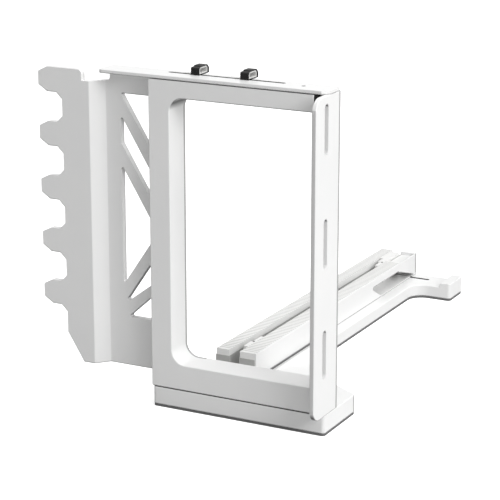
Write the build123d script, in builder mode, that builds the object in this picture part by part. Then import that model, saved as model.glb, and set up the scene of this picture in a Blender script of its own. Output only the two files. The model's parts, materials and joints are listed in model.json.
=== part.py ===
"""Free-standing vertical bracket for a graphics card.

All sizes are in millimetres. The origin is the middle of the base's front edge on the floor.
X runs to the right, Y to the rear and Z up.
"""
from build123d import *
import math
import os

os.makedirs("parts", exist_ok=True)

# Base: front box, arm and crosswise foot
mat_thick = 3.0
mat_inset = 0.3
base_half_width = 104.25
base_top = 22.8
arm_top = 17.0
box_depth = 78.3
box_corner = 4.0
base_soft = 0.9
arm_left = -base_half_width + 17.25
arm_width = 80.5
arm_right = arm_left + arm_width
sweep_radius = 199.0
foot_front = 508.7
foot_depth = 43.0
foot_rear = foot_front + foot_depth
foot_right = arm_right + 50.0
foot_corner = 20.0
lip_width = 14.5

# The box's raised top runs further back on the right, along the sweep
plinth_depth = box_depth + 5.7
plinth_step_x = arm_right + 4.0
plinth_rear = plinth_depth + 46.0
plinth_corner = 8.0

# Slots in the base
base_slot_width = 5.0
foot_slot_right = arm_right + 10.5
foot_slot_length = 53.0
foot_slot_y = foot_front + 0.6 * foot_depth
plinth_slot_left = base_half_width - 69.25
plinth_slot_length = 16.0
plinth_slot_y = plinth_depth + 18.0

# Strip at the right. The pitch of its slots sets the height of the whole frame
strip_thick = 4.5
strip_right = base_half_width
strip_left = strip_right - strip_thick
strip_front = -27.5
strip_rear = 31.3
strip_corner = 15.0
strip_soft = 0.8
strip_slot_pitch = 120.0
strip_slot_count = 3
strip_slot_width = 8.7
strip_slot_length = 0.44 * strip_slot_pitch
strip_slot_y = -2.1
flange_front = 14.0
flange_gap = 0.25

# Frame and plate
frame_left = -base_half_width - 1.25
frame_right = strip_left - 11.25
frame_depth = 34.5
plate_bottom = base_top + 2 * strip_slot_pitch + 103.8
plate_thick = 3.7
plate_top = plate_bottom + plate_thick
plate_left = frame_left - 62.0
plate_depth = 32.0
plate_corner = 5.5
plate_bevel = 7.2
column_width = 25.5
bottom_bar = 29.2
top_bar = 19.4
window_corner = 16.0
frame_corner = 3.0
frame_soft = 1.2
seam_height = 0.9
seam_depth = 2.2
plate_slot_left = frame_left + 13.0
plate_slot_length = 138.5
plate_slot_width = 4.8
plate_slot_y = 22.0
plate_hole_x = frame_right - 20.0
plate_hole_y = 17.6
plate_hole_radius = 2.25
plate_hole_depth = 12.0
strip_slot_mid = plate_bottom - 35.1 - strip_slot_pitch

# Black cap on the right end of the frame's top bar
cap_thick = 1.4
cap_inset = 0.8
peg_radius = 2.0
peg_length = 6.0

# Cable panel: comb, joggle and truss
sheet = 7.0
comb_front = 3.5
joggle = 14.5
fold_rear_x = frame_left - 63.0
fold_front_x = fold_rear_x - 12.5
tooth_tip_x = fold_front_x - 64.5
tooth_root_x = tooth_tip_x + 30.0
comb_right = fold_front_x - 9.3
comb_top = plate_bottom + 0.6
panel_bottom = base_top + 12.5
comb_foot = panel_bottom + 63.3
tooth_count = 5
tooth_height = 27.4
tooth_pitch = (comb_top - tooth_height - comb_foot) / (tooth_count - 1)
tooth_chamfer = 11.0
tooth_chamfer_top = 5.6
tooth_chamfer_low = 7.2
root_chamfer = 7.3
tooth_round = 1.5
shoulder_round = 4.5
band_top = plate_bottom - 11.4
truss_edge = plate_left + 4.2
skirt_top = panel_bottom + 32.4
skirt_left = fold_front_x - 14.0
side_flange_thick = 4.0
stile_left = frame_left - 44.8
stile_right = frame_left - 9.5
truss_corner = 1.6

# Levels of the truss openings, as shares of the panel's height
head_level = 0.9285
upper_brace_high = 0.8578
upper_brace_low = 0.7627
tall_high = 0.6918
tall_low = 0.2798
toe_level = 0.2119
sill_level = 0.1699
brace_fall = 0.1733
brace_rise = 0.1555
low_rise = 0.08
sill_indent = 6.0

# Rails
rail_front = plinth_depth + 4.0
rail_rear = foot_rear
rail_top = 45.6
rail_split = 38.1
left_rail_x = arm_left + 15.0
left_rail_width = 16.0
rail_gap = 13.5
right_rail_x = left_rail_x + left_rail_width + rail_gap
right_rail_width = 18.7
rail_foot_extra = 1.0
wall_thick = 1.8
wall_left = right_rail_x + right_rail_width
wall_right = wall_left + wall_thick
wall_soft = 0.6
tray_thick = 1.8
tray_top = arm_top + tray_thick
rib_pitch = 5.2
rib_groove = 2.2
rib_depth = 0.8
pad_rear = rail_rear - 51.7
end_wall = 5.5
rear_seat_drop = 3.0

# Open bay under the rear of the right rail
bay_front = rail_rear - 146.7
bay_top = rail_split - 2.4
bay_slope = 30.0
bay_arch = rail_rear - 61.7
bay_corner = 2.0

# Stepped tabs between the rails. Each step is a length along the rail and a reach into the gap
tab_side_gap = 0.25
tab_hole_radius = 1.8
tab_hole_inset = 2.6
tab_hole_depth = 8.0
front_tab_y = rail_front + 20.0
front_tab_steps = [(19.0, 5.5), (20.0, 3.6)]
rear_tab_y = rail_rear - 77.7
rear_tab_steps = [(17.0, 5.0), (17.0, 8.5), (35.0, rail_gap - 2 * tab_side_gap)]

# Dark strip let into the arm below the front of the tray
gasket_thick = 2.4
gasket_rear = rail_front + 202.0
pocket_margin = 6.0

# Cable clips and their sleeves
clip_length = 10.0
clip_left_x = plate_slot_left + 34.3
clip_right_x = clip_left_x + 58.5
clip_front = plate_slot_y - 4.4
clip_depth = 22.0
clip_height = 9.2
clip_step = 1.2
clip_hump = 8.0
clip_bevel = 3.6
clip_foot = 1.2
clip_groove = 0.6
clip_groove_levels = (2.2, 4.4, 6.6)
sleeve_inset = 0.9
sleeve_depth = 17.4
sleeve_height = 7.0
sleeve_wall = 1.3
sleeve_round = 3.6

# Fasteners
m3_radius = 1.5
m3_head_radius = 2.75
m3_head_height = 2.0
m4_radius = 2.0
m4_head_radius = 3.5
m4_head_height = 2.8
socket_share = 0.45
thread_fit = 0.05
pass_fit = 0.15
head_fit = 0.3
head_recess = 1.5
blind_extra = 0.5
nut_length = 12.0
nut_width = 9.0
nut_thick = 4.0
channel_depth = 6.0
channel_fit = 0.3
channel_margin = 1.5
bite = 8.0
plate_bite = 2.8
washer_radius = 3.6
washer_thick = 0.8
column_margin = 12.0
plate_screw_inset = 20.0

ABOVE = (Align.CENTER, Align.CENTER, Align.MIN)
BELOW = (Align.CENTER, Align.CENTER, Align.MAX)
FROM_CORNER = (Align.MIN, Align.MIN, Align.MIN)


def block(x_range, y_range, z_range, mode=Mode.ADD):
    """A square-edged block between two corners."""
    with Locations((x_range[0], y_range[0], z_range[0])):
        Box(
            x_range[1] - x_range[0],
            y_range[1] - y_range[0],
            z_range[1] - z_range[0],
            align=FROM_CORNER,
            mode=mode,
        )


def bore(seats, radius, depth):
    """Round holes that start at each seat and run down its own Z axis."""
    with Locations(*seats):
        Cylinder(radius, depth, align=BELOW, mode=Mode.SUBTRACT)


def sink(seats, radius, height):
    """Round clearance above each seat, for a head."""
    with Locations(*seats):
        Cylinder(radius, height, align=ABOVE, mode=Mode.SUBTRACT)


def seats_up(points, z):
    """Seats whose head stands above height z."""
    return [Location((x, y, z)) for x, y in points]


def seats_down(points, z):
    """Seats whose head hangs below height z and whose shank runs up."""
    return [Location((x, y, z), (180, 0, 0)) for x, y in points]


def round_corners(sketch, points, radius):
    """Round the corners of a flat outline that lie nearest to the given points."""
    corners = [sketch.vertices().sort_by_distance(point)[0] for point in points]
    fillet(corners, radius)


def cap_screw(radius, head_radius, head_height, length):
    """Cylinder-head screw with a hexagon socket. Its seat is at the origin and its shank below."""
    with BuildPart() as screw:
        Cylinder(head_radius, head_height, align=ABOVE)
        Cylinder(radius, length, align=BELOW)
        with BuildSketch(Plane.XY.offset(head_height)):
            RegularPolygon(radius, 6)
        extrude(amount=-2 * socket_share * head_height, mode=Mode.SUBTRACT)
    return screw.part


def flat_screw(radius, head_radius, length):
    """Countersunk screw. The top of its cone is at the origin and its shank below."""
    cone = head_radius - radius
    with BuildPart() as screw:
        with BuildSketch(Plane.XZ):
            with BuildLine():
                Polyline(
                    (0, 0),
                    (head_radius, 0),
                    (radius, -cone),
                    (radius, -length),
                    (0, -length),
                    close=True,
                )
            make_face()
        revolve(axis=Axis.Z)
        with BuildSketch(Plane.XY):
            RegularPolygon(0.8 * radius, 6)
        extrude(amount=-cone, mode=Mode.SUBTRACT)
    return screw.part


# Where the screws sit
clip_centres = (clip_left_x, clip_right_x)
clip_screw_points = [(x, plate_slot_y) for x in clip_centres]
clip_screw_z = plate_top + clip_foot
clip_screw_length = clip_foot + plate_thick + nut_thick - channel_fit

channel_width = nut_width + 2 * channel_fit
channel_left = plate_slot_left - channel_margin
channel_right = plate_slot_left + plate_slot_length + channel_margin

window_left = frame_left + column_width
window_bottom = base_top + bottom_bar
window_top = plate_bottom - top_bar

plate_screw_y = (plate_slot_y - channel_width / 2) / 2
plate_screw_points = [
    (window_left + plate_screw_inset, plate_screw_y),
    (frame_right - column_margin, plate_screw_y),
]
plate_screw_seat = window_top + m3_head_height + head_recess
plate_screw_length = plate_bottom - plate_screw_seat + plate_bite

flange_left = frame_right + flange_gap
flange_mid = (flange_left + strip_left) / 2
flange_depth = strip_rear - flange_front
flange_screw_points = [
    (flange_mid, flange_front + 0.25 * flange_depth),
    (flange_mid, flange_front + 0.75 * flange_depth),
]

frame_screw_y = frame_depth / 2
frame_screw_points = [
    (frame_left + column_width / 2, frame_screw_y),
    ((frame_left + frame_right) / 2, frame_screw_y),
    (frame_right - column_margin, frame_screw_y),
]
frame_screw_seat = mat_thick + m4_head_height + head_recess
frame_screw_length = base_top - frame_screw_seat + bite

panel_height = plate_bottom - panel_bottom
panel_rear = comb_front + joggle + sheet
panel_screw_y = (panel_rear + frame_depth) / 2
panel_screw_heights = [panel_bottom + share * panel_height for share in (0.08, 0.5, 0.92)]
panel_screw_x = frame_left - side_flange_thick
panel_seats = [Location((panel_screw_x, panel_screw_y, z), (0, -90, 0)) for z in panel_screw_heights]
panel_bores = [Location((frame_left, panel_screw_y, z), (0, -90, 0)) for z in panel_screw_heights]

cap_rear = flange_front - cap_inset
cap_low = window_top + cap_inset
peg_seat = Location((frame_right, (cap_inset + cap_rear) / 2, (cap_low + plate_bottom) / 2), (0, 90, 0))

open_gap_front = front_tab_y + sum(length for length, reach in front_tab_steps)
open_gap = rear_tab_y - open_gap_front
gap_mid = right_rail_x - rail_gap / 2
carrier_screw_points = [(gap_mid, open_gap_front + share * open_gap) for share in (0.1, 0.5, 0.9)]
rail_screw_ys = [rail_front + share * (bay_front - rail_front) for share in (0.13, 0.5, 0.87)]
left_rail_screws = [(left_rail_x + left_rail_width / 2, y) for y in rail_screw_ys]
right_rail_screws = [(right_rail_x + right_rail_width / 2, y) for y in rail_screw_ys]
rail_screw_points = left_rail_screws + right_rail_screws

sweep_start_angle = math.acos((sweep_radius - base_half_width + arm_right) / sweep_radius)
sweep_end_y = box_depth + sweep_radius * math.sin(sweep_start_angle)


def base_plan():
    """Outline of the base from above, with the long concave sweep from the box into the arm."""
    middle_angle = math.pi + sweep_start_angle / 2
    middle_x = arm_right + sweep_radius + sweep_radius * math.cos(middle_angle)
    middle_y = sweep_end_y + sweep_radius * math.sin(middle_angle)
    with BuildLine() as plan:
        Polyline(
            (arm_right, sweep_end_y),
            (arm_right, foot_front),
            (foot_right, foot_front),
            (foot_right, foot_rear),
            (arm_left, foot_rear),
            (arm_left, box_depth),
            (-base_half_width, box_depth),
            (-base_half_width, 0),
            (base_half_width, 0),
            (base_half_width, box_depth),
        )
        ThreePointArc((base_half_width, box_depth), (middle_x, middle_y), (arm_right, sweep_end_y))
    make_face(plan.edges())


def base_slots(mode=Mode.ADD):
    """The two slots through the base, seen from above."""
    with Locations((foot_slot_right - foot_slot_length / 2, foot_slot_y)):
        SlotOverall(foot_slot_length, base_slot_width, mode=mode)
    with Locations((plinth_slot_left + plinth_slot_length / 2, plinth_slot_y)):
        SlotOverall(plinth_slot_length, base_slot_width, mode=mode)


box_corners = [
    (-base_half_width, 0),
    (base_half_width, 0),
    (base_half_width, box_depth),
    (-base_half_width, box_depth),
    (arm_left, box_depth),
    (foot_right, foot_front),
    (foot_right, foot_rear),
    (arm_left, foot_rear),
]

# base: plinth, arm and foot moulded as one
with BuildPart() as base:
    with BuildSketch(Plane.XY.offset(mat_thick)) as arm_sketch:
        base_plan()
        round_corners(arm_sketch, box_corners, box_corner)
        round_corners(arm_sketch, [(arm_right, foot_front)], foot_corner)
    extrude(amount=arm_top - mat_thick)
    fillet(base.faces().sort_by(Axis.Z)[-1].edges(), base_soft)
    with BuildSketch(Plane.XY.offset(mat_thick)) as plinth_sketch:
        base_plan()
        round_corners(plinth_sketch, box_corners, box_corner)
        with Locations((plinth_step_x, plinth_depth)):
            Rectangle(
                plinth_step_x - arm_left + box_corner,
                foot_rear,
                align=(Align.MAX, Align.MIN),
                mode=Mode.SUBTRACT,
            )
        with Locations((plinth_step_x - plinth_corner, plinth_rear)):
            Rectangle(2 * base_half_width, foot_rear, align=(Align.MIN, Align.MIN), mode=Mode.SUBTRACT)
        round_corners(plinth_sketch, [(plinth_step_x, plinth_depth)], plinth_corner)
    extrude(amount=base_top - mat_thick)
    with BuildSketch(Plane.XY.offset(mat_thick)) as lip_sketch:
        with Locations((foot_right - lip_width / 2, foot_front + foot_depth / 2)):
            Rectangle(lip_width, foot_depth)
        round_corners(lip_sketch, [(foot_right, foot_front), (foot_right, foot_rear)], box_corner)
    extrude(amount=base_top - mat_thick)
    fillet(base.faces().filter_by(Plane.XY).group_by(Axis.Z)[-1].edges(), base_soft)
    block(
        (left_rail_x - rail_foot_extra, wall_right + pocket_margin),
        (plinth_depth, gasket_rear),
        (arm_top - gasket_thick, arm_top),
        Mode.SUBTRACT,
    )
    with BuildSketch(Plane.XY.offset(base_top)):
        base_slots()
    extrude(amount=-base_top, mode=Mode.SUBTRACT)
    bore(seats_down(frame_screw_points, frame_screw_seat), m4_radius + pass_fit, base_top)
    sink(seats_down(frame_screw_points, frame_screw_seat), m4_head_radius + head_fit, base_top)
    bore(seats_up(flange_screw_points, base_top), m3_radius + thread_fit, bite + blind_extra)
    bore(seats_up(carrier_screw_points, arm_top), m3_radius + thread_fit, bite + blind_extra)

# base_mat: thin rubber sheet under the whole base
with BuildPart() as base_mat:
    with BuildSketch(Plane.XY) as mat_sketch:
        base_plan()
        round_corners(mat_sketch, box_corners, box_corner)
        round_corners(mat_sketch, [(arm_right, foot_front)], foot_corner)
        offset(amount=-mat_inset)
        base_slots(Mode.SUBTRACT)
        with Locations(*frame_screw_points):
            Circle(m4_head_radius + head_fit, mode=Mode.SUBTRACT)
    extrude(amount=mat_thick)

# main_frame: C-shaped frame, open at the right
with BuildPart() as main_frame:
    with BuildSketch(Plane.XZ) as frame_sketch:
        with BuildLine():
            Polyline(
                (frame_left, base_top),
                (frame_right, base_top),
                (frame_right, window_bottom),
                (window_left, window_bottom),
                (window_left, window_top),
                (frame_right, window_top),
                (frame_right, plate_bottom),
                (frame_left, plate_bottom),
                close=True,
            )
        make_face()
        round_corners(
            frame_sketch, [(window_left, window_bottom), (window_left, window_top)], window_corner
        )
        round_corners(
            frame_sketch, [(frame_left, base_top), (frame_left, plate_bottom)], frame_corner
        )
    extrude(amount=-frame_depth)
    fillet(main_frame.faces().sort_by(Axis.Y)[0].edges(), frame_soft)
    block(
        (channel_left, channel_right),
        (plate_slot_y - channel_width / 2, plate_slot_y + channel_width / 2),
        (plate_bottom - channel_depth, plate_bottom),
        Mode.SUBTRACT,
    )
    for seam_low in (base_top, plate_bottom - seam_height):
        block(
            (frame_left, frame_right),
            (0, seam_depth),
            (seam_low, seam_low + seam_height),
            Mode.SUBTRACT,
        )
    bore([Location((plate_hole_x, plate_hole_y, plate_bottom))], plate_hole_radius, plate_hole_depth)
    bore(seats_down(plate_screw_points, plate_screw_seat), m3_radius + pass_fit, top_bar)
    sink(seats_down(plate_screw_points, plate_screw_seat), m3_head_radius + head_fit, top_bar)
    bore(seats_down(frame_screw_points, base_top), m4_radius + thread_fit, bite + blind_extra)
    bore(panel_bores, m3_radius + thread_fit, bite + blind_extra)
    bore([peg_seat], peg_radius + thread_fit, peg_length + blind_extra)

# frame_end_cap: black cap with a peg, on the right end of the top bar
with BuildPart() as frame_end_cap:
    block(
        (frame_right, frame_right + cap_thick),
        (cap_inset, cap_rear),
        (cap_low, plate_bottom - cap_inset / 2),
    )
    with Locations(peg_seat):
        Cylinder(peg_radius, peg_length, align=BELOW)

# top_plate: flat plate over the frame, with one long slot
with BuildPart() as top_plate:
    with BuildSketch(Plane.XY.offset(plate_bottom)) as plate_sketch:
        with Locations(((plate_left + strip_right) / 2, plate_depth / 2)):
            Rectangle(strip_right - plate_left, plate_depth)
        round_corners(
            plate_sketch,
            [(plate_left, 0), (plate_left, plate_depth), (strip_right, plate_depth)],
            plate_corner,
        )
        chamfer(plate_sketch.vertices().sort_by_distance((strip_right, 0))[0], plate_bevel)
        with Locations((plate_slot_left + plate_slot_length / 2, plate_slot_y)):
            SlotOverall(plate_slot_length, plate_slot_width, mode=Mode.SUBTRACT)
        with Locations((plate_hole_x, plate_hole_y)):
            Circle(plate_hole_radius, mode=Mode.SUBTRACT)
    extrude(amount=plate_thick)
    bore(seats_down(plate_screw_points, plate_bottom), m3_radius + thread_fit, plate_bite + blind_extra)
    bore(seats_down(flange_screw_points, plate_bottom), m3_radius + thread_fit, plate_bite + blind_extra)

# side_strip: one folded sheet with three long slots and a flange at each end
with BuildPart() as side_strip:
    with BuildSketch(Plane.YZ.offset(strip_left)) as strip_sketch:
        with BuildLine():
            Polyline(
                (strip_front, base_top),
                (strip_rear, base_top),
                (strip_rear, plate_bottom),
                (strip_front, plate_bottom),
                close=True,
            )
        make_face()
        round_corners(
            strip_sketch, [(strip_front, base_top), (strip_front, plate_bottom)], strip_corner
        )
        with Locations((strip_slot_y, strip_slot_mid)):
            with GridLocations(1, strip_slot_pitch, 1, strip_slot_count):
                SlotOverall(strip_slot_length, strip_slot_width, rotation=90, mode=Mode.SUBTRACT)
    extrude(amount=strip_thick)
    fillet(side_strip.faces().sort_by(Axis.X)[-1].outer_wire().edges(), strip_soft)
    for flange_low in (base_top, plate_bottom - strip_thick):
        block(
            (flange_left, strip_left + strip_soft),
            (flange_front, strip_rear - strip_soft),
            (flange_low, flange_low + strip_thick),
        )
    bore(seats_up(flange_screw_points, base_top + strip_thick), m3_radius + pass_fit, strip_thick)
    bore(seats_down(flange_screw_points, plate_bottom - strip_thick), m3_radius + pass_fit, strip_thick)


def comb_edge():
    """Left edge of the comb from the top down, tooth by tooth."""
    points = []
    for index in range(tooth_count):
        top = comb_top - index * tooth_pitch
        low = top - tooth_height
        if index > 0:
            points.append((tooth_root_x, top + root_chamfer))
            points.append((tooth_root_x - root_chamfer, top))
        points.append((tooth_tip_x + tooth_chamfer, top))
        points.append((tooth_tip_x, top - tooth_chamfer_top))
        points.append((tooth_tip_x, low + tooth_chamfer_low))
        points.append((tooth_tip_x + tooth_chamfer, low))
        points.append((tooth_root_x - root_chamfer, low))
        points.append((tooth_root_x, low - root_chamfer))
    return points


def level(share):
    """Height at a share of the panel's height."""
    return panel_bottom + share * panel_height


# Truss openings, from the top down. Each is an outline in the front view
truss_openings = [
    [
        (stile_left, level(head_level)),
        (stile_right, level(head_level)),
        (stile_right, level(head_level - brace_fall)),
    ],
    [
        (stile_left, level(upper_brace_high)),
        (stile_right, level(upper_brace_high - brace_fall)),
        (stile_right, level(upper_brace_low - brace_fall)),
        (stile_left, level(upper_brace_low)),
    ],
    [
        (stile_left, level(tall_high)),
        (stile_right, level(tall_high - brace_fall)),
        (stile_right, level(tall_low + brace_rise)),
        (stile_left, level(tall_low)),
    ],
    [
        (stile_left, level(toe_level)),
        (stile_right, level(toe_level + brace_rise)),
        (stile_right, level(toe_level + low_rise)),
    ],
    [
        (stile_left + sill_indent, level(sill_level)),
        (stile_right, level(sill_level + low_rise)),
        (stile_right, level(sill_level)),
    ],
]

# cable_panel: comb, joggle and truss in one sheet
joggle_lead = sheet * math.tan(math.atan2(joggle, fold_rear_x - fold_front_x) / 2)
with BuildPart() as cable_panel:
    with BuildSketch(Plane.XY.offset(panel_bottom)) as fold_sketch:
        with BuildLine():
            Polyline(
                (tooth_tip_x, comb_front),
                (fold_front_x, comb_front),
                (fold_rear_x, comb_front + joggle),
                (frame_left, comb_front + joggle),
                (frame_left, frame_depth),
                (frame_left - side_flange_thick, frame_depth),
                (frame_left - side_flange_thick, panel_rear),
                (fold_rear_x - joggle_lead, panel_rear),
                (fold_front_x - joggle_lead, comb_front + sheet),
                (tooth_tip_x, comb_front + sheet),
                close=True,
            )
        make_face()
        round_corners(
            fold_sketch,
            [
                (fold_front_x, comb_front),
                (fold_rear_x, comb_front + joggle),
                (fold_rear_x - joggle_lead, panel_rear),
                (fold_front_x - joggle_lead, comb_front + sheet),
            ],
            tooth_round,
        )
    extrude(amount=comb_top - panel_bottom)
    with BuildSketch(Plane.XZ) as panel_sketch:
        edge = comb_edge()
        outline = edge + [
            (tooth_root_x, skirt_top),
            (skirt_left, panel_bottom),
            (frame_left, panel_bottom),
            (frame_left, plate_bottom),
            (truss_edge, plate_bottom),
            (truss_edge, band_top),
            (comb_right, band_top),
            (comb_right, comb_top),
        ]
        with BuildLine():
            Polyline(*outline, close=True)
        make_face()
        for opening in truss_openings:
            with BuildLine():
                Polyline(*opening, close=True)
            make_face(mode=Mode.SUBTRACT)
        round_corners(panel_sketch, edge, tooth_round)
        round_corners(panel_sketch, [corner for shape in truss_openings for corner in shape], truss_corner)
        round_corners(panel_sketch, [(comb_right, comb_top), (truss_edge, band_top)], shoulder_round)
    extrude(amount=-2 * frame_depth, mode=Mode.INTERSECT)
    bore(panel_seats, m3_radius + pass_fit, side_flange_thick)


def rail_pad(x_left, width, y_rear):
    """Ribbed pad: a side profile with fine grooves across the top, drawn along the rail."""
    rib_count = int((y_rear - rail_front) / rib_pitch)
    points = [(rail_front, rail_split), (rail_front, rail_top)]
    for index in range(1, rib_count):
        y = rail_front + index * rib_pitch
        points.append((y, rail_top))
        points.append((y + rib_groove / 2, rail_top - rib_depth))
        points.append((y + rib_groove, rail_top))
    points.append((y_rear, rail_top))
    points.append((y_rear, rail_split))
    with BuildSketch(Plane.YZ.offset(x_left)) as profile:
        with BuildLine():
            Polyline(*points, close=True)
        make_face()
    extrude(profile.sketch, amount=width)


# rail_gasket: dark strip in the arm's pocket, below the front of the tray
with BuildPart() as rail_gasket:
    block(
        (left_rail_x - rail_foot_extra, wall_right),
        (rail_front, gasket_rear),
        (arm_top - gasket_thick, arm_top),
    )
    bore(seats_up(carrier_screw_points, arm_top), m3_radius + pass_fit, gasket_thick)

# rail_bracket: tray under both rails with a thin outer wall, a low end wall and an open bay
bay_rear = rail_rear - end_wall - bay_corner
with BuildPart() as rail_bracket:
    block((left_rail_x - rail_foot_extra, wall_right), (rail_front, rail_rear), (arm_top, tray_top))
    block((wall_left, wall_right), (rail_front, rail_rear), (arm_top, rail_top))
    block((right_rail_x, wall_right), (rail_rear - end_wall, rail_rear), (arm_top, rail_top))
    fillet(rail_bracket.edges().filter_by(Axis.Y).group_by(Axis.Z)[-1], wall_soft)
    with BuildSketch(Plane.YZ.offset(wall_left)) as bay_sketch:
        with BuildLine():
            Polyline(
                (bay_front + bay_slope, tray_top),
                (bay_front, bay_top),
                (bay_arch, bay_top),
                (bay_rear, tray_top),
                close=True,
            )
        make_face()
        round_corners(bay_sketch, [(bay_front, bay_top), (bay_arch, bay_top)], bay_corner)
    extrude(amount=wall_thick, mode=Mode.SUBTRACT)
    with BuildSketch(Plane.XY.offset(tray_top)):
        base_slots()
    extrude(amount=-tray_thick, mode=Mode.SUBTRACT)
    bore(seats_up(carrier_screw_points, tray_top), m3_radius + pass_fit, tray_thick)
    with Locations(*seats_down(rail_screw_points, arm_top)):
        Cylinder(m3_radius + pass_fit, tray_thick, align=BELOW, mode=Mode.SUBTRACT)
        Cone(
            m3_radius + pass_fit,
            m3_head_radius + pass_fit,
            m3_head_radius - m3_radius,
            align=BELOW,
            mode=Mode.SUBTRACT,
        )

# left_rail and right_rail: long bars on the tray. The right one thins to a tongue over the bay
with BuildPart() as left_rail:
    block(
        (left_rail_x - rail_foot_extra, left_rail_x + left_rail_width),
        (rail_front, rail_rear),
        (tray_top, rail_split),
    )
    bore(seats_down(left_rail_screws, tray_top), m3_radius + thread_fit, bite + blind_extra)

with BuildPart() as left_rail_pad:
    rail_pad(left_rail_x, left_rail_width, rail_rear)

with BuildPart() as right_rail:
    block((right_rail_x - rail_foot_extra, wall_left), (rail_front, bay_front), (tray_top, rail_split))
    block((right_rail_x, wall_left), (bay_front, rail_rear - end_wall), (bay_top, rail_split))
    block(
        (right_rail_x, wall_left),
        (pad_rear, rail_rear - end_wall),
        (rail_split, rail_top - rear_seat_drop),
    )
    bore(seats_down(right_rail_screws, tray_top), m3_radius + thread_fit, bite + blind_extra)

with BuildPart() as right_rail_pad:
    rail_pad(right_rail_x, right_rail_width, pad_rear)


def rail_tab(y_front, steps):
    """Stepped tab beside the right rail, from the tray up to the pads, with a hole at its first step."""
    x_right = right_rail_x - tab_side_gap
    y = y_front
    for length, reach in steps:
        block((x_right - reach, x_right), (y, y + length), (tray_top, rail_top))
        y += length
    block((x_right - rail_foot_extra, x_right), (y_front, y), (tray_top, rail_split), Mode.SUBTRACT)
    hole = Location((x_right - tab_hole_inset, y_front + steps[0][0], rail_top))
    bore([hole], tab_hole_radius, tab_hole_depth)


with BuildPart() as rail_tab_front:
    rail_tab(front_tab_y, front_tab_steps)

with BuildPart() as rail_tab_rear:
    rail_tab(rear_tab_y, rear_tab_steps)


def clip_arch(x_middle, shrink):
    """Flat-bottomed arch along a clip, with a margin taken off all round. It isn't added to the part."""
    y_middle = clip_front + sleeve_inset + sleeve_depth / 2
    with BuildSketch(Plane.YZ.offset(x_middle - clip_length / 2)) as profile:
        with Locations((y_middle, plate_top + clip_foot + shrink)):
            Rectangle(
                sleeve_depth - 2 * shrink,
                sleeve_height - 2 * shrink,
                align=(Align.CENTER, Align.MIN),
            )
        fillet(profile.vertices().group_by(Axis.Y)[-1], sleeve_round - shrink)
    return extrude(profile.sketch, amount=clip_length, mode=Mode.PRIVATE)


def cable_clip(x_middle):
    """Clip: a block with a low ridged front, a hump behind it and an arched passage."""
    y_rear = clip_front + clip_depth
    top = plate_top + clip_height
    ledge = top - clip_step
    with BuildSketch(Plane.YZ.offset(x_middle - clip_length / 2)) as side:
        with BuildLine():
            Polyline(
                (clip_front, plate_top),
                (clip_front, ledge - clip_step),
                (clip_front + clip_step, ledge),
                (clip_front + clip_hump - clip_step, ledge),
                (clip_front + clip_hump, top),
                (y_rear - clip_bevel, top),
                (y_rear, top - clip_bevel),
                (y_rear, plate_top),
                close=True,
            )
        make_face()
    extrude(side.sketch, amount=clip_length)
    for height in clip_groove_levels:
        block(
            (x_middle - clip_length, x_middle + clip_length),
            (clip_front, clip_front + clip_groove),
            (plate_top + height - clip_groove, plate_top + height),
            Mode.SUBTRACT,
        )
    add(clip_arch(x_middle, 0), mode=Mode.SUBTRACT)
    bore([Location((x_middle, plate_slot_y, clip_screw_z))], m3_radius + pass_fit, clip_foot)


def clip_sleeve(x_middle):
    """Light sleeve that lines a clip's passage, with a hole in its floor for the screw's head."""
    add(clip_arch(x_middle, 0))
    add(clip_arch(x_middle, sleeve_wall), mode=Mode.SUBTRACT)
    head_room = m3_head_height + head_fit
    sink([Location((x_middle, plate_slot_y, clip_screw_z))], m3_head_radius + head_fit, head_room)


with BuildPart() as cable_clip_left:
    cable_clip(clip_left_x)

with BuildPart() as cable_clip_right:
    cable_clip(clip_right_x)

with BuildPart() as clip_sleeve_left:
    clip_sleeve(clip_left_x)

with BuildPart() as clip_sleeve_right:
    clip_sleeve(clip_right_x)

# clip_nuts: flat nuts in the frame's channel, against the plate
with BuildPart() as clip_nuts:
    with Locations(*seats_up(clip_screw_points, plate_bottom)):
        Box(nut_length, nut_width, nut_thick, align=BELOW)
        Cylinder(m3_radius + thread_fit, nut_thick, align=BELOW, mode=Mode.SUBTRACT)

# Screws and washers
clip_screw = cap_screw(m3_radius, m3_head_radius, m3_head_height, clip_screw_length)
plate_screw = cap_screw(m3_radius, m3_head_radius, m3_head_height, plate_screw_length)
upper_screw = cap_screw(m3_radius, m3_head_radius, m3_head_height, strip_thick + plate_bite)
lower_screw = cap_screw(m3_radius, m3_head_radius, m3_head_height, strip_thick + bite)
frame_screw = cap_screw(m4_radius, m4_head_radius, m4_head_height, frame_screw_length)
panel_screw = cap_screw(m3_radius, m3_head_radius, m3_head_height, side_flange_thick + bite)
carrier_screw = cap_screw(
    m3_radius, m3_head_radius, m3_head_height, washer_thick + tray_thick + bite
)
rail_screw = flat_screw(m3_radius, m3_head_radius, tray_thick + bite)

with BuildPart() as clip_screws:
    with Locations(*seats_up(clip_screw_points, clip_screw_z)):
        add(clip_screw)

with BuildPart() as plate_screws:
    with Locations(*seats_down(plate_screw_points, plate_screw_seat)):
        add(plate_screw)

with BuildPart() as strip_screws_upper:
    with Locations(*seats_down(flange_screw_points, plate_bottom - strip_thick)):
        add(upper_screw)

with BuildPart() as strip_screws_lower:
    with Locations(*seats_up(flange_screw_points, base_top + strip_thick)):
        add(lower_screw)

with BuildPart() as frame_screws:
    with Locations(*seats_down(frame_screw_points, frame_screw_seat)):
        add(frame_screw)

with BuildPart() as panel_screws:
    with Locations(*panel_seats):
        add(panel_screw)

with BuildPart() as carrier_screws:
    with Locations(*seats_up(carrier_screw_points, tray_top + washer_thick)):
        add(carrier_screw)

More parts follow.
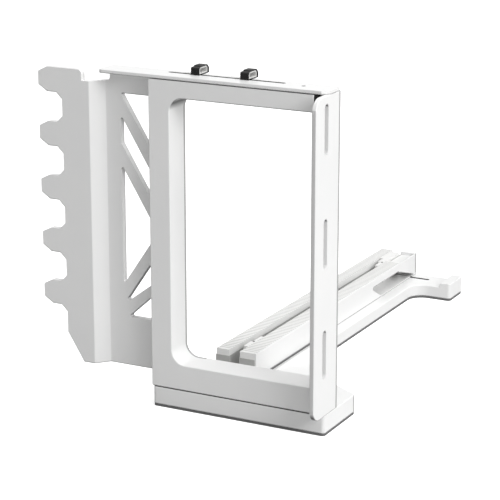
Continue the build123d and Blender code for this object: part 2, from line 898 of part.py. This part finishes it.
with BuildPart() as carrier_washers:
    with Locations(*seats_up(carrier_screw_points, tray_top)):
        Cylinder(washer_radius, washer_thick, align=ABOVE)
        Cylinder(m3_radius + pass_fit, washer_thick, align=ABOVE, mode=Mode.SUBTRACT)

with BuildPart() as rail_screws:
    with Locations(*seats_down(rail_screw_points, arm_top)):
        add(rail_screw)

base.part.label = "base"
export_step(base.part, "parts/base.step")
base_mat.part.label = "base_mat"
export_step(base_mat.part, "parts/base_mat.step")
main_frame.part.label = "main_frame"
export_step(main_frame.part, "parts/main_frame.step")
frame_end_cap.part.label = "frame_end_cap"
export_step(frame_end_cap.part, "parts/frame_end_cap.step")
top_plate.part.label = "top_plate"
export_step(top_plate.part, "parts/top_plate.step")
side_strip.part.label = "side_strip"
export_step(side_strip.part, "parts/side_strip.step")
cable_panel.part.label = "cable_panel"
export_step(cable_panel.part, "parts/cable_panel.step")
rail_gasket.part.label = "rail_gasket"
export_step(rail_gasket.part, "parts/rail_gasket.step")
rail_bracket.part.label = "rail_bracket"
export_step(rail_bracket.part, "parts/rail_bracket.step")
left_rail.part.label = "left_rail"
export_step(left_rail.part, "parts/left_rail.step")
left_rail_pad.part.label = "left_rail_pad"
export_step(left_rail_pad.part, "parts/left_rail_pad.step")
right_rail.part.label = "right_rail"
export_step(right_rail.part, "parts/right_rail.step")
right_rail_pad.part.label = "right_rail_pad"
export_step(right_rail_pad.part, "parts/right_rail_pad.step")
rail_tab_front.part.label = "rail_tab_front"
export_step(rail_tab_front.part, "parts/rail_tab_front.step")
rail_tab_rear.part.label = "rail_tab_rear"
export_step(rail_tab_rear.part, "parts/rail_tab_rear.step")
cable_clip_left.part.label = "cable_clip_left"
export_step(cable_clip_left.part, "parts/cable_clip_left.step")
cable_clip_right.part.label = "cable_clip_right"
export_step(cable_clip_right.part, "parts/cable_clip_right.step")
clip_sleeve_left.part.label = "clip_sleeve_left"
export_step(clip_sleeve_left.part, "parts/clip_sleeve_left.step")
clip_sleeve_right.part.label = "clip_sleeve_right"
export_step(clip_sleeve_right.part, "parts/clip_sleeve_right.step")
clip_nuts.part.label = "clip_nuts"
export_step(clip_nuts.part, "parts/clip_nuts.step")
clip_screws.part.label = "clip_screws"
export_step(clip_screws.part, "parts/clip_screws.step")
plate_screws.part.label = "plate_screws"
export_step(plate_screws.part, "parts/plate_screws.step")
strip_screws_upper.part.label = "strip_screws_upper"
export_step(strip_screws_upper.part, "parts/strip_screws_upper.step")
strip_screws_lower.part.label = "strip_screws_lower"
export_step(strip_screws_lower.part, "parts/strip_screws_lower.step")
frame_screws.part.label = "frame_screws"
export_step(frame_screws.part, "parts/frame_screws.step")
panel_screws.part.label = "panel_screws"
export_step(panel_screws.part, "parts/panel_screws.step")
carrier_screws.part.label = "carrier_screws"
export_step(carrier_screws.part, "parts/carrier_screws.step")
carrier_washers.part.label = "carrier_washers"
export_step(carrier_washers.part, "parts/carrier_washers.step")
rail_screws.part.label = "rail_screws"
export_step(rail_screws.part, "parts/rail_screws.step")
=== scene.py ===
"""Looks of the free-standing graphics card bracket: white moulded and painted parts, black clips.

Metres, in the row frame: X to the right, Y to the rear, Z up, the floor at zero.
Places that get a tint of their own are given in millimetres.
"""

import json
import math

import bpy
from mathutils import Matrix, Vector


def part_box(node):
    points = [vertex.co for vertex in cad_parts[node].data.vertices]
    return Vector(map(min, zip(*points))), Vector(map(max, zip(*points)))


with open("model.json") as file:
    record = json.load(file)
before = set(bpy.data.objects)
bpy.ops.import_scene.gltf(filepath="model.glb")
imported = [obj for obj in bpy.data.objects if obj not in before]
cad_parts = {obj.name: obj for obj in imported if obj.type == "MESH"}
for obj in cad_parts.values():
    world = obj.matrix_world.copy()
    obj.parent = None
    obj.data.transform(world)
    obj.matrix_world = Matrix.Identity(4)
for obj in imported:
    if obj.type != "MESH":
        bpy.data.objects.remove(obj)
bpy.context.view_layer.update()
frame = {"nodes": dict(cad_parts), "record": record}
nodes = frame["nodes"]
scene = bpy.context.scene

MM = 0.001


def box_mm(node):
    """Low and high corner of a node's box, in millimetres."""
    return [[value / MM for value in corner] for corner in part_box(node)]


# Node helpers


def new_shader(name):
    """An empty material with a Principled surface. Returns the material, its tree and the shader."""
    material = bpy.data.materials.new(name)
    material.use_nodes = True
    tree = material.node_tree
    tree.nodes.clear()
    output = tree.nodes.new("ShaderNodeOutputMaterial")
    surface = tree.nodes.new("ShaderNodeBsdfPrincipled")
    tree.links.new(surface.outputs["BSDF"], output.inputs["Surface"])
    return material, tree, surface


def place(tree):
    """Object coordinates, in metres."""
    return tree.nodes.new("ShaderNodeTexCoord").outputs["Object"]


def noise(tree, scale, detail=3.0, roughness=0.5):
    """Grey noise over the object's own coordinates."""
    node = tree.nodes.new("ShaderNodeTexNoise")
    node.inputs["Scale"].default_value = scale
    node.inputs["Detail"].default_value = detail
    node.inputs["Roughness"].default_value = roughness
    tree.links.new(place(tree), node.inputs["Vector"])
    return node.outputs["Fac"]


def spread(tree, value, low, high, start=0.3, end=0.7):
    """Maps a value between start and end onto low to high."""
    node = tree.nodes.new("ShaderNodeMapRange")
    node.inputs["From Min"].default_value = start
    node.inputs["From Max"].default_value = end
    node.inputs["To Min"].default_value = low
    node.inputs["To Max"].default_value = high
    tree.links.new(value, node.inputs["Value"])
    return node.outputs["Result"]


def blend(tree, factor, first, second):
    """Mixes two colours. Each is a colour or a socket."""
    node = tree.nodes.new("ShaderNodeMix")
    node.data_type = "RGBA"
    colour_a = node.inputs[6]
    colour_b = node.inputs[7]
    for socket, value in ((colour_a, first), (colour_b, second)):
        if isinstance(value, tuple):
            socket.default_value = (*value, 1.0)
        else:
            tree.links.new(value, socket)
    tree.links.new(factor, node.inputs["Factor"])
    return node.outputs[2]


def soft_edge(tree, radius):
    """Normal with a small rounding at every edge."""
    node = tree.nodes.new("ShaderNodeBevel")
    node.samples = 6
    node.inputs["Radius"].default_value = radius
    return node.outputs["Normal"]


def true_normal(tree):
    """Normal of the surface itself, without any rounding or bump."""
    return tree.nodes.new("ShaderNodeNewGeometry").outputs["Normal"]


def part_of(tree, vector, part):
    """X, Y or Z of a vector."""
    split = tree.nodes.new("ShaderNodeSeparateXYZ")
    tree.links.new(vector, split.inputs["Vector"])
    return split.outputs[part]


def edge_mask(tree, rounded):
    """One on edges and zero on flat faces, from the rounded normal against the true one."""
    product = tree.nodes.new("ShaderNodeVectorMath")
    product.operation = "DOT_PRODUCT"
    tree.links.new(rounded, product.inputs[0])
    tree.links.new(true_normal(tree), product.inputs[1])
    return spread(tree, product.outputs["Value"], 1.0, 0.0, 0.75, 0.99)


def grain(tree, height, strength, distance, normal):
    """Bump from a height over a given normal."""
    node = tree.nodes.new("ShaderNodeBump")
    node.inputs["Strength"].default_value = strength
    node.inputs["Distance"].default_value = distance
    tree.links.new(height, node.inputs["Height"])
    tree.links.new(normal, node.inputs["Normal"])
    return node.outputs["Normal"]


def times(tree, first, second):
    """Product of two masks."""
    node = tree.nodes.new("ShaderNodeMath")
    node.operation = "MULTIPLY"
    tree.links.new(first, node.inputs[0])
    tree.links.new(second, node.inputs[1])
    return node.outputs[0]


# Materials, one for each slot of the record

EDGE_ROUNDING = 0.6 * MM
GRAIN_DEPTH = 0.05 * MM
COAT_ROUGHNESS = 0.25


def coated(name, colour, shade, edge, rough, grain_scale, grain_strength, coat=0.0, specular=0.5):
    """A coated or moulded surface: slow colour drift, fine grain and soft edges of their own colour."""
    material, tree, surface = new_shader(name)
    rounded = soft_edge(tree, EDGE_ROUNDING)
    drift = spread(tree, noise(tree, 9.0), 0.0, 1.0)
    body = blend(tree, drift, colour, shade)
    tree.links.new(blend(tree, edge_mask(tree, rounded), body, edge), surface.inputs["Base Color"])
    rough_drift = spread(tree, noise(tree, 35.0, 4.0), rough - 0.05, rough + 0.06)
    tree.links.new(rough_drift, surface.inputs["Roughness"])
    bumps = noise(tree, grain_scale, 2.0, 0.6)
    tree.links.new(grain(tree, bumps, grain_strength, GRAIN_DEPTH, rounded), surface.inputs["Normal"])
    surface.inputs["Coat Weight"].default_value = coat
    surface.inputs["Coat Roughness"].default_value = COAT_ROUGHNESS
    surface.inputs["Specular IOR Level"].default_value = specular
    return material


def plated_steel(name):
    """Zinc-plated steel with fine turning marks."""
    material, tree, surface = new_shader(name)
    rounded = soft_edge(tree, 0.2 * MM)
    drift = spread(tree, noise(tree, 60.0), 0.0, 1.0)
    colour = blend(tree, drift, (0.62, 0.62, 0.60), (0.5, 0.5, 0.5))
    tree.links.new(colour, surface.inputs["Base Color"])
    tree.links.new(spread(tree, noise(tree, 400.0), 0.22, 0.42), surface.inputs["Roughness"])
    surface.inputs["Metallic"].default_value = 1.0
    marks = noise(tree, 2500.0)
    tree.links.new(grain(tree, marks, 0.2, 0.02 * MM, rounded), surface.inputs["Normal"])
    return material


def grey(level):
    """Plain grey."""
    return (level, level, level)


def warm_grey(level):
    """Grey with a little less blue."""
    return (level, level, level - 0.01)


WHITE = (0.80, 0.80, 0.795)
WHITE_SHADE = (0.775, 0.777, 0.775)

white_coat = {"colour": WHITE, "shade": WHITE_SHADE, "edge": WHITE, "coat": 0.1}
coatings = {
    "white_moulding": {**white_coat, "rough": 0.42, "grain_scale": 900.0, "grain_strength": 0.18},
    "white_paint": {**white_coat, "rough": 0.36, "grain_scale": 1300.0, "grain_strength": 0.15},
    "grey_core": {
        "colour": warm_grey(0.47),
        "shade": warm_grey(0.43),
        "edge": warm_grey(0.54),
        "rough": 0.6,
        "grain_scale": 1500.0,
        "grain_strength": 0.35,
    },
    "ribbed_pad": {
        "colour": warm_grey(0.85),
        "shade": warm_grey(0.8),
        "edge": warm_grey(0.86),
        "rough": 0.6,
        "grain_scale": 1800.0,
        "grain_strength": 0.5,
    },
    "dark_rubber": {
        "colour": grey(0.12),
        "shade": grey(0.15),
        "edge": grey(0.15),
        "rough": 0.75,
        "grain_scale": 1500.0,
        "grain_strength": 0.5,
    },
    "light_sleeve": {
        "colour": warm_grey(0.62),
        "shade": warm_grey(0.57),
        "edge": warm_grey(0.68),
        "rough": 0.5,
        "grain_scale": 1400.0,
        "grain_strength": 0.3,
        "specular": 0.15,
    },
    "black_plastic": {
        "colour": grey(0.01),
        "shade": grey(0.015),
        "edge": grey(0.05),
        "rough": 0.5,
        "grain_scale": 1600.0,
        "grain_strength": 0.4,
        "specular": 0.15,
    },
}
materials = {slot: coated(slot, **look) for slot, look in coatings.items()}
materials["zinc_steel"] = plated_steel("zinc_steel")


# Masks: each builds a value in a material's tree that is one where a tint goes

# Widths of the painted shade lines along edges that turn down or to the rear
LOW_EDGE_SHADE_RADIUS = 2.3
REAR_EDGE_SHADE_RADIUS = 2.4
BOX_SLACK = 0.01


def tint_where(slot, mask_of, colour):
    """Colours a material where a mask, built in its tree, is one."""
    tree = materials[slot].node_tree
    surface = next(node for node in tree.nodes if node.type == "BSDF_PRINCIPLED")
    body = surface.inputs["Base Color"].links[0].from_socket
    tree.links.new(blend(tree, mask_of(tree), body, colour), surface.inputs["Base Color"])


def painted_low_edge_shade(tree):
    """Painted shade: a thin dark line along edges that turn down, on the face beside them, standing in
    for the shade under them.
    """
    wide = soft_edge(tree, LOW_EDGE_SHADE_RADIUS * MM)
    turned = spread(tree, part_of(tree, wide, "Z"), 0.0, 1.0, -0.15, -0.6)
    not_below = spread(tree, part_of(tree, true_normal(tree), "Z"), 1.0, 0.0, -0.75, -0.95)
    return times(tree, turned, not_below)


def painted_rear_edge_shade(tree):
    """Painted shade: a thin grey line along edges of upright faces that turn to the rear, away from the
    light.
    """
    wide = soft_edge(tree, REAR_EDGE_SHADE_RADIUS * MM)
    turned = spread(tree, part_of(tree, wide, "Y"), 0.0, 1.0, 0.1, 0.32)
    own_face = spread(tree, part_of(tree, true_normal(tree), "Y"), 1.0, 0.0, 0.6, 0.8)
    upright = spread(tree, part_of(tree, true_normal(tree), "Z"), 1.0, 0.0, 0.3, 0.6)
    return times(tree, times(tree, turned, own_face), upright)


def painted_groove_shade(tree):
    """Painted shade: the sloped walls of a pad's grooves, coloured darker than the flat tops."""
    slope = part_of(tree, true_normal(tree), "Z")
    not_flat = spread(tree, slope, 1.0, 0.0, 0.85, 0.95)
    not_upright = spread(tree, slope, 0.0, 1.0, 0.5, 0.7)
    return times(tree, not_flat, not_upright)


def inside(low, high):
    """Everything between two corners, in millimetres."""

    def mask_of(tree):
        mask = None
        for part, start, end in zip("XYZ", low, high):
            node = tree.nodes.new("ShaderNodeMath")
            node.operation = "COMPARE"
            tree.links.new(part_of(tree, place(tree), part), node.inputs[0])
            node.inputs[1].default_value = (start + end) / 2 * MM
            node.inputs[2].default_value = ((end - start) / 2 + BOX_SLACK) * MM
            mask = node.outputs[0] if mask is None else times(tree, mask, node.outputs[0])
        return mask

    return mask_of


# Places on the part, in millimetres

FRAME_LOW, FRAME_HIGH = box_mm("main_frame")
STRIP_LOW, STRIP_HIGH = box_mm("side_strip")
CARRIER_LOW, CARRIER_HIGH = box_mm("rail_bracket")
RAIL_LOW, RAIL_HIGH = box_mm("right_rail")
BASE_TOP = FRAME_LOW[2]
FRAME_TOP = FRAME_HIGH[2]
FRAME_REAR = FRAME_HIGH[1]
PLATE_TOP = box_mm("top_plate")[1][2]
TAB_TOP = box_mm("rail_tab_front")[1][2]
SLEEVE_TOP = box_mm("clip_sleeve_left")[1][2]
ARM_TOP = CARRIER_LOW[2]
MAT_TOP = 3.2
BASE_BOX_REAR = 78.5
BAY_FRONT, BAY_REAR, BAY_TOP = 425.0, 500.0, 37.0
WINDOW_LEFT, WINDOW_CORNER = -90.0, -55.0
WINDOW_BOTTOM = 50.0
WINDOW_TOP = FRAME_TOP - 15.0

# Areas seen from above: left, front, right and rear
PLATE_SLOT = (-92.6, 19.5, 46.1, 24.5)
FRAME_CHANNEL = (-95.0, 17.0, 48.0, 27.0)
PLATE_HOLE = (66.0, 15.1, 71.0, 20.1)
FOOT_SLOT = (-49.5, 531.8, 4.5, 537.2)
FRONT_TAB_HOLE = (-47.3, 125.0, -43.4, 129.0)
REAR_TAB_HOLE = (-47.3, 489.0, -43.4, 493.0)

# Depths: a skin that keeps a tint off the outer face, and how far the slots and holes reach down
SKIN = 0.2
PLATE_UNDERSIDE = 3.8
PLATE_THROUGH = 4.0
CHANNEL_FLOOR = 10.0
HOLE_FLOOR = 17.0
TAB_HOLE_FLOOR = 9.0
SLEEVE_CROWN = 3.0
RAIL_CROWN = 4.0

# The seams above and below the frame
SEAM_INSET = 0.7
SEAM_FRONT = 0.15
SEAM_REAR = 2.5
SEAM_HEIGHT = 0.88

# Widths of the grey lines of painted shade
STRIP_LINE = 3.8
BASE_LINE = 4.7
WINDOW_LINE = 3.4
WALL_LINE = 4.0
WALL_FOOT_LINE = 0.9

# Colours of painted shade and painted light, except CLIP_BLACK, which is the clips' own black
LOW_EDGE_SHADE = grey(0.08)
REAR_EDGE_SHADE = grey(0.36)
RECESS_SHADE = grey(0.03)
PAINTED_GROOVE_SHADE = warm_grey(0.58)
CLIP_BLACK = grey(0.012)
STRIP_FRONT_SHADE = grey(0.55)
PAINTED_RAIL_LIGHT = (0.8, 0.8, 0.795)


def seam(slot, bottom, top):
    """A seam across the frame's front, between two heights."""
    low = (FRAME_LOW[0] + SEAM_INSET, SEAM_FRONT, bottom)
    high = (FRAME_HIGH[0] - SEAM_INSET, SEAM_REAR, top)
    return slot, low, high


def well(slot, area, bottom, top):
    """The inside of a slot or hole, between two heights."""
    left, front, right, rear = area
    return slot, (left, front, bottom), (right, rear, top)


def sleeve_top(tree):
    """The upward faces near the top of the clips' sleeves, which the clips cover on the real ones."""
    low = (FRAME_LOW[0], 0.0, SLEEVE_TOP - SLEEVE_CROWN)
    high = (FRAME_HIGH[0], 60.0, SLEEVE_TOP + 1.0)
    upward = spread(tree, part_of(tree, true_normal(tree), "Z"), 0.0, 1.0, 0.1, 0.3)
    return times(tree, inside(low, high)(tree), upward)


def painted_window_edge_shade(tree):
    """Painted shade along the rear edge of the window's left side, but not on the frame's rear face."""
    low = (WINDOW_LEFT, FRAME_REAR - WINDOW_LINE, WINDOW_BOTTOM)
    high = (WINDOW_CORNER, FRAME_REAR, WINDOW_TOP)
    not_behind = spread(tree, part_of(tree, true_normal(tree), "Y"), 1.0, 0.0, 0.5, 0.7)
    return times(tree, inside(low, high)(tree), not_behind)


# Painted shade in lines along edges that turn to the rear or down and on the groove walls, and the
# sleeves' black tops
tint_where("white_moulding", painted_rear_edge_shade, REAR_EDGE_SHADE)
for slot in ("white_moulding", "white_paint"):
    tint_where(slot, painted_low_edge_shade, LOW_EDGE_SHADE)
tint_where("ribbed_pad", painted_groove_shade, PAINTED_GROOVE_SHADE)
tint_where("light_sleeve", sleeve_top, CLIP_BLACK)

# Painted shade: seams, slots and holes are coloured near black inside, standing in for the shade in
# them
shaded_recesses = (
    seam("white_moulding", BASE_TOP - SKIN, BASE_TOP + SEAM_HEIGHT),
    seam("white_moulding", FRAME_TOP - SEAM_HEIGHT, FRAME_TOP + SKIN),
    seam("white_paint", FRAME_TOP - SKIN, FRAME_TOP + SKIN),
    well("white_paint", PLATE_SLOT, PLATE_TOP - PLATE_THROUGH, PLATE_TOP - SKIN),
    well("white_moulding", FRAME_CHANNEL, PLATE_TOP - CHANNEL_FLOOR, PLATE_TOP - PLATE_UNDERSIDE),
    well("white_paint", PLATE_HOLE, PLATE_TOP - PLATE_THROUGH, PLATE_TOP - SKIN),
    well("white_moulding", PLATE_HOLE, PLATE_TOP - HOLE_FLOOR, PLATE_TOP - PLATE_UNDERSIDE),
    well("white_moulding", FOOT_SLOT, MAT_TOP, ARM_TOP - SKIN),
    well("ribbed_pad", FRONT_TAB_HOLE, TAB_TOP - TAB_HOLE_FLOOR, TAB_TOP - SKIN),
    well("ribbed_pad", REAR_TAB_HOLE, TAB_TOP - TAB_HOLE_FLOOR, TAB_TOP - SKIN),
)
for slot, low, high in shaded_recesses:
    tint_where(slot, inside(low, high), RECESS_SHADE)

# Painted shade: grey lines on the right sides, along the rear edge of the strip, of the base's box and
# of the rail wall, the rear edge of the window, and the foot of the rail wall
strip_rear_shade = (STRIP_HIGH[0] - 1.0, STRIP_HIGH[1] - STRIP_LINE, STRIP_LOW[2])
tint_where("white_paint", inside(strip_rear_shade, STRIP_HIGH), REAR_EDGE_SHADE)

base_box_rear_shade = (
    (STRIP_HIGH[0] - 2.0, BASE_BOX_REAR - BASE_LINE, 0.0),
    (STRIP_HIGH[0], BASE_BOX_REAR, BASE_TOP - 0.5),
)
tint_where("white_moulding", inside(*base_box_rear_shade), REAR_EDGE_SHADE)
tint_where("white_moulding", painted_window_edge_shade, REAR_EDGE_SHADE)

WALL_SKIN = CARRIER_HIGH[0] - 0.5
wall_rear_shade = (WALL_SKIN, CARRIER_HIGH[1] - WALL_LINE, ARM_TOP + 2.0)
tint_where("white_paint", inside(wall_rear_shade, CARRIER_HIGH), REAR_EDGE_SHADE)
wall_foot_shade = (
    (WALL_SKIN, CARRIER_LOW[1], ARM_TOP),
    (CARRIER_HIGH[0], CARRIER_HIGH[1], ARM_TOP + WALL_FOOT_LINE),
)
tint_where("white_paint", inside(*wall_foot_shade), REAR_EDGE_SHADE)

# Painted shade: the strip's front edge is coloured grey for the half shade on it
strip_front_shade = (
    (STRIP_LOW[0], STRIP_LOW[1] - 0.1, STRIP_LOW[2]),
    (STRIP_HIGH[0], STRIP_LOW[1] + 0.6, STRIP_HIGH[2]),
)
tint_where("white_paint", inside(*strip_front_shade), STRIP_FRONT_SHADE)

# Painted light: the right rail's top and the bay under it are coloured lighter than its core, standing
# in for light on them
lit_rail_top = (RAIL_LOW[0] + 3.0, RAIL_LOW[1], RAIL_HIGH[2] - RAIL_CROWN)
tint_where("grey_core", inside(lit_rail_top, RAIL_HIGH), PAINTED_RAIL_LIGHT)
lit_rail_bay = ((RAIL_LOW[0] + 0.9, BAY_FRONT, RAIL_LOW[2]), (RAIL_HIGH[0], BAY_REAR, BAY_TOP))
tint_where("grey_core", inside(*lit_rail_bay), PAINTED_RAIL_LIGHT)

slot_of_node = {part["node"]: part["material_slot"] for part in frame["record"]["subparts"]}
for name, piece in nodes.items():
    piece.data.materials.clear()
    piece.data.materials.append(materials[slot_of_node[name]])


# Stage: pale floor, soft light, camera

FLOOR_SIZE = 30.0
FLOOR_BOUNCE = grey(0.56)
FLOOR_LIFT = 0.6
FILL_DARK = 0.0
FILL_BRIGHT = 1.0
FILL_TOWARDS = (0.8, -0.03, 0.53)
MIDDLE = (0.0, 0.15, 0.15)


def make_floor():
    """A wide pale floor. The camera sees it lifted to white, and it keeps its shadows."""
    bpy.ops.mesh.primitive_plane_add(size=FLOOR_SIZE, location=(0.0, 0.0, 0.0))
    floor = bpy.context.object
    floor.name = "floor"
    material, tree, surface = new_shader("floor")
    surface.inputs["Roughness"].default_value = 0.9
    surface.inputs["Specular IOR Level"].default_value = 0.1
    light_path = tree.nodes.new("ShaderNodeLightPath")
    tint = blend(tree, noise(tree, 2.0), grey(0.86), grey(0.88))
    seen_tint = blend(tree, light_path.outputs["Is Camera Ray"], FLOOR_BOUNCE, tint)
    tree.links.new(seen_tint, surface.inputs["Base Color"])
    lift = tree.nodes.new("ShaderNodeMath")
    lift.operation = "MULTIPLY"
    lift.inputs[1].default_value = FLOOR_LIFT
    tree.links.new(light_path.outputs["Is Camera Ray"], lift.inputs[0])
    surface.inputs["Emission Color"].default_value = (1.0, 1.0, 1.0, 1.0)
    tree.links.new(lift.outputs[0], surface.inputs["Emission Strength"])
    floor.data.materials.append(material)


def white_background(tree):
    """A white Background node in the world's tree."""
    node = tree.nodes.new("ShaderNodeBackground")
    node.inputs["Color"].default_value = (1.0, 1.0, 1.0, 1.0)
    return node


def make_world():
    """White to the camera and in reflections. Its even light comes from the right and above."""
    world = bpy.data.worlds.new("studio")
    scene.world = world
    world.use_nodes = True
    tree = world.node_tree
    tree.nodes.clear()
    output = tree.nodes.new("ShaderNodeOutputWorld")
    seen = white_background(tree)
    seen.inputs["Strength"].default_value = 1.0
    fill = white_background(tree)
    facing = tree.nodes.new("ShaderNodeVectorMath")
    facing.operation = "DOT_PRODUCT"
    facing.inputs[1].default_value = FILL_TOWARDS
    direction = tree.nodes.new("ShaderNodeTexCoord").outputs["Generated"]
    tree.links.new(direction, facing.inputs[0])
    strength = spread(tree, facing.outputs["Value"], FILL_DARK, FILL_BRIGHT, -0.3, 0.8)
    tree.links.new(strength, fill.inputs["Strength"])
    light_path = tree.nodes.new("ShaderNodeLightPath")
    white_rays = tree.nodes.new("ShaderNodeMath")
    white_rays.operation = "MAXIMUM"
    tree.links.new(light_path.outputs["Is Camera Ray"], white_rays.inputs[0])
    tree.links.new(light_path.outputs["Is Glossy Ray"], white_rays.inputs[1])
    mix = tree.nodes.new("ShaderNodeMixShader")
    tree.links.new(white_rays.outputs[0], mix.inputs["Fac"])
    tree.links.new(fill.outputs[0], mix.inputs[1])
    tree.links.new(seen.outputs[0], mix.inputs[2])
    tree.links.new(mix.outputs[0], output.inputs["Surface"])


def soft_lamp(name, size, power, location, target):
    """A square area lamp that faces a point."""
    data = bpy.data.lights.new(name, "AREA")
    data.shape = "SQUARE"
    data.size = size
    data.energy = power
    lamp = bpy.data.objects.new(name, data)
    scene.collection.objects.link(lamp)
    lamp.location = location
    direction = [target[i] - location[i] for i in range(3)]
    length = math.sqrt(sum(d * d for d in direction))
    turn = math.atan2(direction[0], -direction[1])
    tilt = math.acos(-direction[2] / length)
    lamp.rotation_euler = (tilt, 0.0, turn + math.pi)


def make_camera():
    """Camera at the photo's angle: from the front right, looking a little down."""
    data = bpy.data.cameras.new("camera")
    data.sensor_width = 36.0
    data.lens = 139.65
    data.clip_start = 0.1
    data.clip_end = 50.0
    camera = bpy.data.objects.new("camera", data)
    scene.collection.objects.link(camera)
    camera.location = (0.91779, -1.73853, 0.74954)
    camera.rotation_euler = (math.radians(74.158), 0.0, math.radians(27.414))
    scene.camera = camera


make_floor()
make_world()
soft_lamp("lamp_right", size=1.2, power=40.0, location=(2.4, -0.96, 1.56), target=MIDDLE)
soft_lamp("lamp_top", size=2.4, power=29.0, location=(0.1, 0.45, 2.5), target=MIDDLE)
make_camera()

scene.view_settings.view_transform = "Standard"
